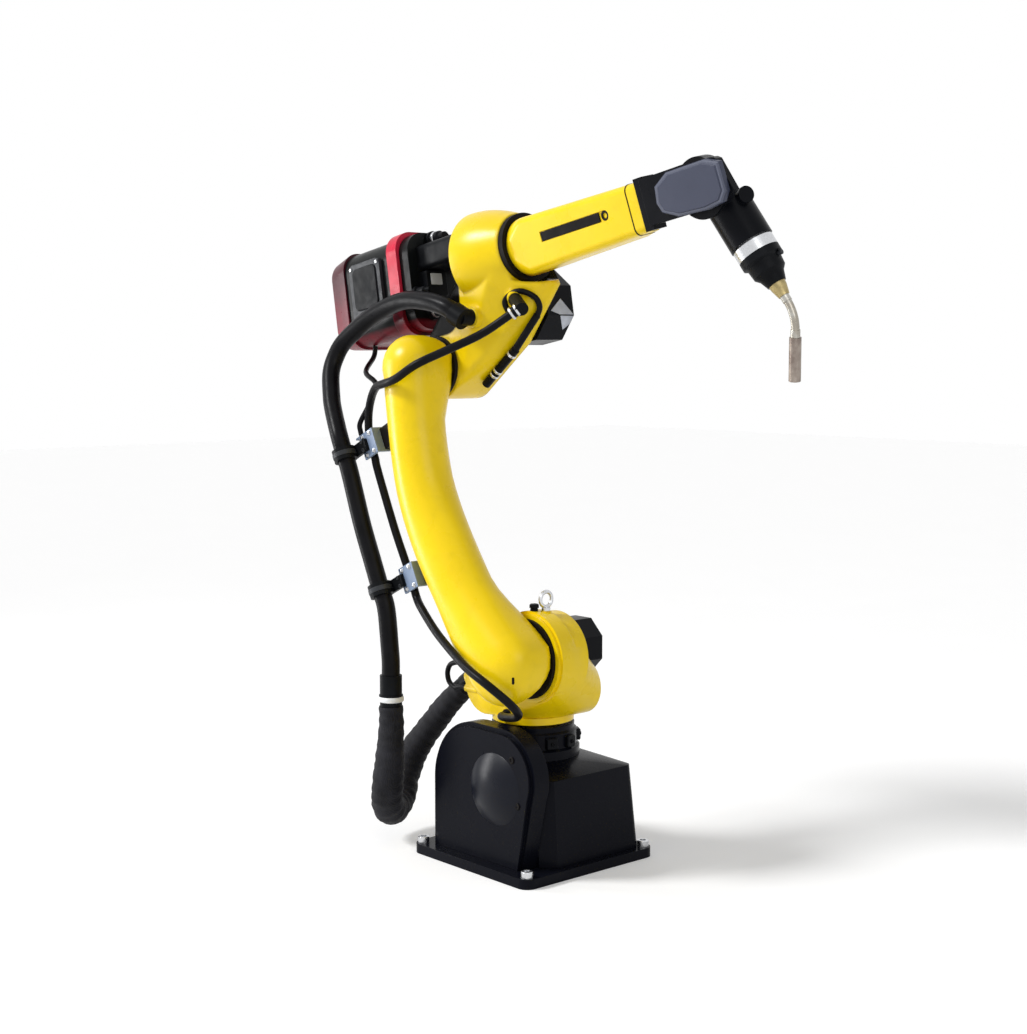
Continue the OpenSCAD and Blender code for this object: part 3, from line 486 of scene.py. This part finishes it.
UPPER_PLATE_X, LOWER_PLATE_X = bow(CLAMP_TOP) - 128, bow(CLAMP_LOW) - 92
HOSE_TOP_X, HOSE_LOW_X = bow(CLAMP_TOP) - 185, bow(CLAMP_LOW) - 160
CABLE_TOP, CABLE_LOW = (UPPER_PLATE_X - 11, CLAMP_TOP - 16), (LOWER_PLATE_X - 10, CLAMP_LOW - 27)
COUPLER = Vector((-206, -HOSE_Y, 308))
SADDLE, SADDLE_WAY = Vector((-164, -40, 335)), Vector((32, 0, 23)).normalized()
GLAND = Vector((10, -83, 305))
SOCKET, SOCKET_WAY = Vector((108, -112, 94)), Vector((20, 5, -16)).normalized()
CONNECTOR, CONNECTOR_LEAD = Vector((240, -78, 66)), Vector((54, 36, 30))
LEAD_START = Vector((-262, -38, 91))
TAB = Vector((UPPER_PLATE_X - 26, -176, 569))

hose_elbow_points = in_frame(ELBOW, [
    SOCKET - RUN_GAP * SOCKET_WAY, (88, -117, 110), (40, -120, 130), (-26, -120, 146), (-90, -120, 146),
    (-160, -125, 132), (-240, -136, 98), (-265, -148, 66)]) + in_frame(ARM, [
        (-249, -162, 744), (-245, -180, 693), (-238, -192, 655), (HOSE_TOP_X, -HOSE_Y, 585),
        (HOSE_TOP_X, -HOSE_Y, CLAMP_TOP + RUN_GAP)])
cord("hose_elbow_run", hose_elbow_points, HOSE_R, HOSE, None,
     ("elbow", "lower_arm", hose_elbow_points[2], hose_elbow_points[-2]))

hose_arm_points = in_frame(ARM, [
    (HOSE_TOP_X, -HOSE_Y, CLAMP_TOP), (HOSE_TOP_X, -HOSE_Y, 500), (-229, -HOSE_Y, 390), (-230, -HOSE_Y, 300),
    (HOSE_LOW_X, -HOSE_Y, CLAMP_LOW), (HOSE_LOW_X, -HOSE_Y, 200)]) + in_frame(WORLD, [
        (-209, -HOSE_Y, 430), (-206, -HOSE_Y, 402), COUPLER + Vector((0, 0, 65))])
cord("hose_arm_run", hose_arm_points, HOSE_R, HOSE, "lower_arm")

hose_loop_points = in_frame(WORLD, [
    COUPLER - Vector((0, 0, RUN_GAP)), COUPLER - Vector((0, 0, 40)), (-207, -211, 222), (-213, -212, 168),
    (-232, -202, 113), (-260, -174, 74), (-288, -139, 67), (-310, -106, 84), (-324, -83, 123),
    (-319, -65, 164), (-295, -53, 207), (-247, -44, 263), SADDLE - 45 * SADDLE_WAY,
    SADDLE - RUN_GAP * SADDLE_WAY])
loop_radii = [25, 26, 29, 32, 33, 34, 34, 34, 33, 32, 29, 27, 25, 23]
cord("hose_loop", hose_loop_points, loop_radii, SLEEVE, None,
     ("lower_arm", "turret", at(WORLD, (-206, -210, 283)), at(WORLD, (-206, -124, 222))),
     lumps=0.055, steps=12)

cable_elbow_points = in_frame(ELBOW, [
    CONNECTOR - RUN_GAP * CONNECTOR_LEAD.normalized(), CONNECTOR - CONNECTOR_LEAD, (134, -166, 12),
    (90, -210, -8), (34, -223, -28)]) + in_frame(ARM, [
        (-20, -219, 614), (-66, -203, 627), (-116, -184, 622), (-156, -CABLE_Y, 600),
        (CABLE_TOP[0], -CABLE_Y, CABLE_TOP[1] + 30), (CABLE_TOP[0], -CABLE_Y, CABLE_TOP[1] + RUN_GAP)])
cord("cable_elbow_run", cable_elbow_points, CABLE_R, HOSE, None,
     ("elbow", "lower_arm", cable_elbow_points[1], cable_elbow_points[-2]))

cable_arm_points = in_frame(ARM, [
    (CABLE_TOP[0], -CABLE_Y, CABLE_TOP[1]), (CABLE_TOP[0], -CABLE_Y, CABLE_TOP[1] - 14),
    (-177, -CABLE_Y, 484), (-178, -CABLE_Y, 357), (-174, -CABLE_Y, 278),
    (CABLE_LOW[0], -CABLE_Y, CABLE_LOW[1] + 14), (CABLE_LOW[0], -CABLE_Y, CABLE_LOW[1])])
cord("cable_arm_run", cable_arm_points, CABLE_R, HOSE, "lower_arm")

cable_turret_points = in_frame(ARM, [
    (CABLE_LOW[0], -CABLE_Y, CABLE_LOW[1] - RUN_GAP), (CABLE_LOW[0], -CABLE_Y, CABLE_LOW[1] - 16),
    (-156, -180, 172)]) + in_frame(WORLD, [
        (-78, -191, 475), (11, -213, 440), (58, -221, 422), (108, -220, 402), (146, -196, 368),
        (140, -166, 342), (96, -132, 322), (40, -108, 309), GLAND - Vector((0, 12, 0)),
        GLAND - Vector((0, RUN_GAP, 0))])
cord("cable_turret_run", cable_turret_points, CABLE_R, HOSE, None,
     ("lower_arm", "turret", cable_turret_points[1], cable_turret_points[-1]))

feeder_lead_points = in_frame(ELBOW, [
    LEAD_START, LEAD_START - Vector((0, 8, 24)), (-204, -116, 24)]) + in_frame(ARM, [
        (-127, -150, 662), (-152, -160, 630), (-184, -174, 600), TAB + Vector((0, 0, 14)),
        TAB + Vector((0, 0, RUN_GAP))])
cord("feeder_lead", feeder_lead_points, LEAD_R, HOSE, None,
     ("elbow", "lower_arm", feeder_lead_points[1], feeder_lead_points[-2]))

loop_lead_points = in_frame(WORLD, [
    (-126.3, -72, 340), (-146, -72, 340), (-166, -72, 335), (-184, -72, 344), (-190, -72, 362),
    (-182, -72, 380), (-164, -72, 388), (-142, -72, 390), (-122.3, -72, 390)])
cord("loop_lead", loop_lead_points, LEAD_R, HOSE, "turret")

# Base
UP, RIGHT, LEFT, FRONT = (0, 0, 1), (0, -1, 0), (0, 1, 0), (1, 0, 0)
PLATE_T, ANCHOR = 20, 161
anchors = [(WORLD, (x, y, PLATE_T), UP) for x in (-ANCHOR, ANCHOR) for y in (-ANCHOR, ANCHOR)]
fasteners("anchor_bolts", "base", STEEL, anchors, 12, 13)

HOUSING_FACE = -150
SWELL_MID, SWELL_R, SWELL_RISE, SWELL_STEPS = (52, 172), 74, 20, 14
bm = bmesh.new()
swell = [(SWELL_RISE * math.cos(a) ** 2 - 0.5, SWELL_R * math.sin(a))
         for a in (math.pi / 2 * k / SWELL_STEPS for k in range(SWELL_STEPS, 0, -1))]
turned(bm, facing(WORLD, (SWELL_MID[0], HOUSING_FACE, SWELL_MID[1]), RIGHT), swell, 72)
piece("housing_swell", bm, BASE_GLOSS, "base")
housing_spots = [(WORLD, (x, HOUSING_FACE, z), RIGHT) for x, z in ((104, 240), (121, 151))]
fasteners("housing_screws", "base", SEAM, housing_spots, 7, 2.5)

COLLAR_R, COLLAR_MID, BLOCK_T = 90, 251, 11
bm = bmesh.new()
for angle in (-62, -18, 12, 58, 150, 210):
    block = turn(angle, "Z") @ move(COLLAR_R - 3, 0, COLLAR_MID)
    plate(bm, block @ turn(90, "Z"), rounded(26, 24, 3), 0, -BLOCK_T, 2)
    cap_screw(bm, facing(block, (BLOCK_T, 0, 0), FRONT), 4, 3)
piece("collar_blocks", bm, BLACK, "base")

def end_spots(link, mid, r, end, corners):
    """Screw places round a motor's far end. mid is in X and Z, and corners are numbered round it."""
    angles = [math.pi / 4 + math.pi / 2 * k for k in corners]
    return [(link, (mid[0] + r * math.cos(a), end, mid[1] + r * math.sin(a)), LEFT) for a in angles]


# Turret
bm = bmesh.new()
turned(bm, facing(WORLD, (76, -66, 523), UP), [(-4, 8), (6, 8), (7, 6), (8, 9.5), (14, 9.5), (16, 7.5)], 28)
turned(bm, facing(WORLD, (104, 69, 340), LEFT), [(-2, 13), (7, 13), (10, 10)], 28)
piece("turret_plugs", bm, PLASTIC, "turret")
SHOULDER_MOTOR, SHOULDER_MOTOR_END = (16, 429), 127
fasteners("shoulder_motor_screws", "turret", STEEL,
          end_spots(WORLD, SHOULDER_MOTOR, 44, SHOULDER_MOTOR_END, range(4)), 4.5, 4)

# Lower arm
bm = bmesh.new()
slot_frame = facing(WORLD, (143, -181, 408), (0.71, -0.68, -0.19)) @ turn(90, "Z")
plate(bm, slot_frame, rounded(5, 15, 2.4), 1, -0.7, 0.3)
piece("arm_slot", bm, SEAM, "lower_arm")
bm = bmesh.new()
for x, z in ((HOSE_TOP_X, CLAMP_TOP), (HOSE_LOW_X, CLAMP_LOW)):
    grip = facing(ARM, (x, -HOSE_Y, z), UP)
    band(bm, grip, -5, 5, 24.5, 26)
    for spot in (-9, 9):
        cap_screw(bm, facing(ARM, (x + 46, -HOSE_Y + 16, z + spot), RIGHT), 4, 3)
piece("clamp_straps", bm, GREY_PLASTIC, "lower_arm")
BRACKET_FACE = 24 - HOSE_Y
bracket_spots = [(ARM, (x + across, BRACKET_FACE, z + along), RIGHT)
                 for x, z in ((UPPER_PLATE_X, CLAMP_TOP), (LOWER_PLATE_X, CLAMP_LOW))
                 for across in (-14, 12) for along in (-20, 20)]
fasteners("bracket_bolts", "lower_arm", STEEL, bracket_spots, 4, 3.5, hex_bolt)
bm = bmesh.new()
coupler_frame = facing(WORLD, COUPLER, UP)
band(bm, coupler_frame, 10, 21, 23, 26.5, 1.5)
piece("coupler_ring", bm, WHITE_PLATE, "lower_arm")
KNURLS = 28
bm = bmesh.new()
for k in range(KNURLS):
    rib = coupler_frame @ turn(360 * k / KNURLS, "X")
    plate(bm, rib @ move(44, 0, 22.5) @ turn(-90, "X"), rounded(30, 2.6, 1, steps=2), 0, 1.8, 0.5)
piece("coupler_knurl", bm, PLASTIC, "lower_arm")

# Elbow
connector_axis = CONNECTOR_LEAD.normalized()
bm = bmesh.new()
for d in (3, 15):
    band(bm, facing(ELBOW, CONNECTOR + connector_axis * d, connector_axis), -2.6, 2.6, 10, 13.6)
CONDUIT_LOW, CONDUIT_KNEE = Vector((70.4, -16.8, -48.2)), Vector((170.3, -16.6, 5.1))
conduit_way = (CONDUIT_KNEE - CONDUIT_LOW).normalized()
for share in (0.3, 0.42, 0.9):
    spot = CONDUIT_LOW.lerp(CONDUIT_KNEE, share)
    band(bm, facing(ELBOW, spot, conduit_way), -3, 3, 8.6, 10.6)
piece("elbow_fittings", bm, STEEL, "elbow")
bm = bmesh.new()
arch_points = in_frame(WORLD, [
    (-18, -52, 1118), (-27, -53, 1138), (-14, -46, 1154), (6, -36, 1158), (24, -18, 1146), (27, -8, 1128),
    (18, -6, 1110)])
arch_route, arch_radii = smooth_route(arch_points, [ARCH_R] * len(arch_points))
tube(bm, arch_route, arch_radii, 18)
arch_lead = piece("elbow_arch_lead", bm, HOSE, "elbow")

ELBOW_MOTOR, ELBOW_MOTOR_MID, ELBOW_MOTOR_END, ELBOW_MOTOR_R = (160, 98), 66, 100, 80
MOTOR_APOTHEM = ELBOW_MOTOR_R * math.cos(math.pi / 8)
elbow_motor_frame = ELBOW @ move(ELBOW_MOTOR[0], ELBOW_MOTOR_MID, ELBOW_MOTOR[1])
bm = bmesh.new()
stripe = ((0, [(-30, -22), (0, 3), (32, -29.4), (-6, -29.4)]),
          (45, [(-4, 29.5), (32, 29.5), (32, 10), (20, -4.6)]))
for tilt, outline in stripe:
    facet = elbow_motor_frame @ turn(tilt, "Y") @ move(MOTOR_APOTHEM, 0, 0) @ turn(90, "Z")
    plate(bm, facet, outline, 0.5, -1.2, 0.1)
piece("elbow_motor_plate", bm, PALE_PLATE, "elbow")
fasteners("elbow_motor_screws", "elbow", STEEL,
          end_spots(ELBOW, ELBOW_MOTOR, 56, ELBOW_MOTOR_END, range(2, 5)), 4.5, 4)

# Wire feeder
FEEDER_Z, FEEDER_FRONT = 196, -62
cover = ELBOW @ move(-210, -86, FEEDER_Z + 6)
bm = bmesh.new()
plate(bm, cover, rounded(84, 92, 12, (0, 8)), 0.5, -3, 1.4)
plate(bm, cover, rounded(60, 12, 5, (0, -50)), 0.5, -5, 1.4)
piece("cover_panel", bm, PLASTIC, "elbow")
fasteners("cover_screws", "elbow", STEEL,
          [(cover, (x, 0, z), RIGHT) for x in (-47, 47) for z in (-56, 56)], 3.5, 2.5)
front = ELBOW @ move(FEEDER_FRONT, 0, FEEDER_Z)
bm = bmesh.new()
for y, z, r in ((-8, 88, 15), (-66, -26, 9), (-30, -66, 14)):
    plug = [(-1, r + 4), (8, r + 4), (9, r), (30, r), (34, r - 4), (46, r - 5)]
    turned(bm, facing(front, (0, y, z), FRONT), plug, 28)
piece("feeder_plugs", bm, PLASTIC, "elbow")
bm = bmesh.new()
for y, z, r in ((-8, 88, 15), (-30, -66, 14)):
    band(bm, facing(front, (14, y, z), FRONT), 0, 7, r - 1, r + 1.5)
piece("feeder_plug_rings", bm, STEEL, "elbow")
bm = bmesh.new()
plate(bm, front @ turn(90, "Z"), rounded(56, 56, 6, (-24, -9)), 0.5, -22, 2)
piece("feeder_outlet", bm, PLASTIC, "elbow")
bm = bmesh.new()
plate(bm, front @ turn(90, "Z"), rounded(30, 24, 2, (-26, 0)), -21.5, -23.4, 0.4)
piece("feeder_bare_plate", bm, WHITE_PLATE, "elbow")

# Forearm
FOREARM_Y, STRIP_X, STRIP_Z, STRIP_H, STRIP_END = 58, 330, 7, 20, 510
bm = bmesh.new()
strip_w = STRIP_END - STRIP_X - 16
strip = rounded(strip_w, STRIP_H - 2, 2, (STRIP_X + 1 + strip_w / 2, STRIP_Z))
plate(bm, ROLL, strip, 3.2 - FOREARM_Y, 0.6 - FOREARM_Y, 0.4)
ring_frame = facing(ROLL, (STRIP_END, 3.4 - FOREARM_Y, STRIP_Z), RIGHT)
band(bm, ring_frame, 0, 2.8, 5.6, 9.8, 0.4)
piece("forearm_strip", bm, SEAM, "forearm")
SEAM_X, SEAM_HALF, CORNER, CORNER_STEPS = 575, 48.3, 15, 8
SEAM_SECTION = ((-1.4, -1), (-1.4, 0.5), (1.4, 0.5), (1.4, -1))
bm = bmesh.new()
seam = [(-8, SEAM_HALF)]
for k in range(CORNER_STEPS + 1):
    a = math.pi / 2 * k / CORNER_STEPS
    seam.append((CORNER - FOREARM_Y - CORNER * math.sin(a), SEAM_HALF - CORNER + CORNER * math.cos(a)))
seam += [(y, -z) for y, z in reversed(seam)]
rings = []
for y, z in seam:
    out = Vector((0, y + 30, z)).normalized()
    p = Vector((SEAM_X, y, z))
    rings.append([at(ROLL, p + out * h + Vector((w, 0, 0))) for w, h in SEAM_SECTION])
loft(bm, rings)
piece("forearm_seam", bm, SEAM, "forearm")

# Wrist and torch
COVER_FACE, HALF, TOP, LOW = -75, 82, 44, 42
cover_outline = [(-HALF, -4), (5 - HALF, 26), (39 - HALF, TOP), (HALF - 32, TOP), (HALF - 1, TOP - 12),
                 (HALF, -20), (HALF - 14, 5 - LOW), (HALF - 52, -LOW), (44 - HALF, 4 - LOW),
                 (8 - HALF, 20 - LOW)]
cover_link = ROLL @ move(FOREARM_REACH, 0, 0)
bm = bmesh.new()
# The cover's rim is painted a lighter slate: a painted highlight along its bevelled edge.
edge_outline = [(x * 0.985, z * 0.975) for x, z in cover_outline]
plate(bm, cover_link, edge_outline, COVER_FACE + 0.5, COVER_FACE - 2.6, 2.4)
piece("wrist_cover_edge", bm, SLATE_HIGHLIGHT, "forearm")
bm = bmesh.new()
face_outline = [(x * 0.9, z * 0.86) for x, z in cover_outline]
plate(bm, cover_link, face_outline, COVER_FACE - 2, COVER_FACE - 4.2, 1.6)
piece("wrist_cover_face", bm, SLATE, "forearm")
bm = bmesh.new()
turned(bm, facing(WRIST, (170, 8, 33), (0.2, 0.2, 1)), [(-4, 4), (2, 4), (3, 5), (6, 5), (7, 4)], 24)
piece("socket_knob", bm, GREY_PLASTIC, "tool")

# Floor, background and light
FLOOR_GLOW, WORLD_LIGHT = 0.21, 0.38


def seen_rays(tree, kinds):
    """1 on the rays of these kinds, 0 on the others."""
    info = tree.nodes.new("ShaderNodeLightPath")
    share = info.outputs[kinds[0]]
    for kind in kinds[1:]:
        larger = tree.nodes.new("ShaderNodeMath")
        larger.operation = "MAXIMUM"
        tree.links.new(share, larger.inputs[0])
        tree.links.new(info.outputs[kind], larger.inputs[1])
        share = larger.outputs[0]
    return share


bm = bmesh.new()
bmesh.ops.create_grid(bm, x_segments=8, y_segments=8, size=14)
floor_data = bpy.data.meshes.new("floor")
bm.to_mesh(floor_data)
bm.free()
floor = bpy.data.objects.new("floor", floor_data)
bpy.context.scene.collection.objects.link(floor)
floor.location.z = -0.0005
ground = Paint("pale_floor")
seen = seen_rays(ground.tree, ("Is Camera Ray", "Is Glossy Ray"))
ground.finish(Base_Color=ground.mix(ground.noise(3.0), (0.85, 0.85, 0.85), (0.88, 0.88, 0.88)), Roughness=0.9,
              Specular_IOR_Level=0.1, Emission_Color=(1.0, 1.0, 1.0),
              Emission_Strength=ground.ramp(seen, 0.0, 1.0, 0.0, FLOOR_GLOW))
floor_data.materials.append(ground.material)

world = bpy.data.worlds.new("studio")
bpy.context.scene.world = world
world.use_nodes = True
tree = world.node_tree
sky = tree.nodes["Background"]
sky.inputs["Color"].default_value = (1, 1, 1, 1)
rays = seen_rays(tree, ("Is Camera Ray", "Is Glossy Ray", "Is Transmission Ray"))
level = tree.nodes.new("ShaderNodeMapRange")
level.inputs["To Min"].default_value = WORLD_LIGHT
level.inputs["To Max"].default_value = 1.0
tree.links.new(rays, level.inputs["Value"])
tree.links.new(level.outputs["Result"], sky.inputs["Strength"])


def lamp(name, kind, place, target, size, power):
    """A soft lamp: a wide sun, whose size is an angle in degrees, or an area lamp of a width and height."""
    data = bpy.data.lights.new(name, kind)
    data.energy = power
    if kind == "SUN":
        data.angle = math.radians(size)
    else:
        data.shape = "RECTANGLE"
        data.size, data.size_y = size
    obj = bpy.data.objects.new(name, data)
    aim(obj, place, target)
    bpy.context.scene.collection.objects.link(obj)


lamp("key", "SUN", (-1.7, -2.6, 3.0), (0, 0, 0.4), 14, 2.4)
lamp("fill", "AREA", (3.4, -1.6, 2.2), (0, 0, 0.8), (2.2, 2.2), 26)
lamp("strip", "AREA", (-2.6, -1.7, 0.85), (0, 0, 0.6), (0.6, 1.5), 34)
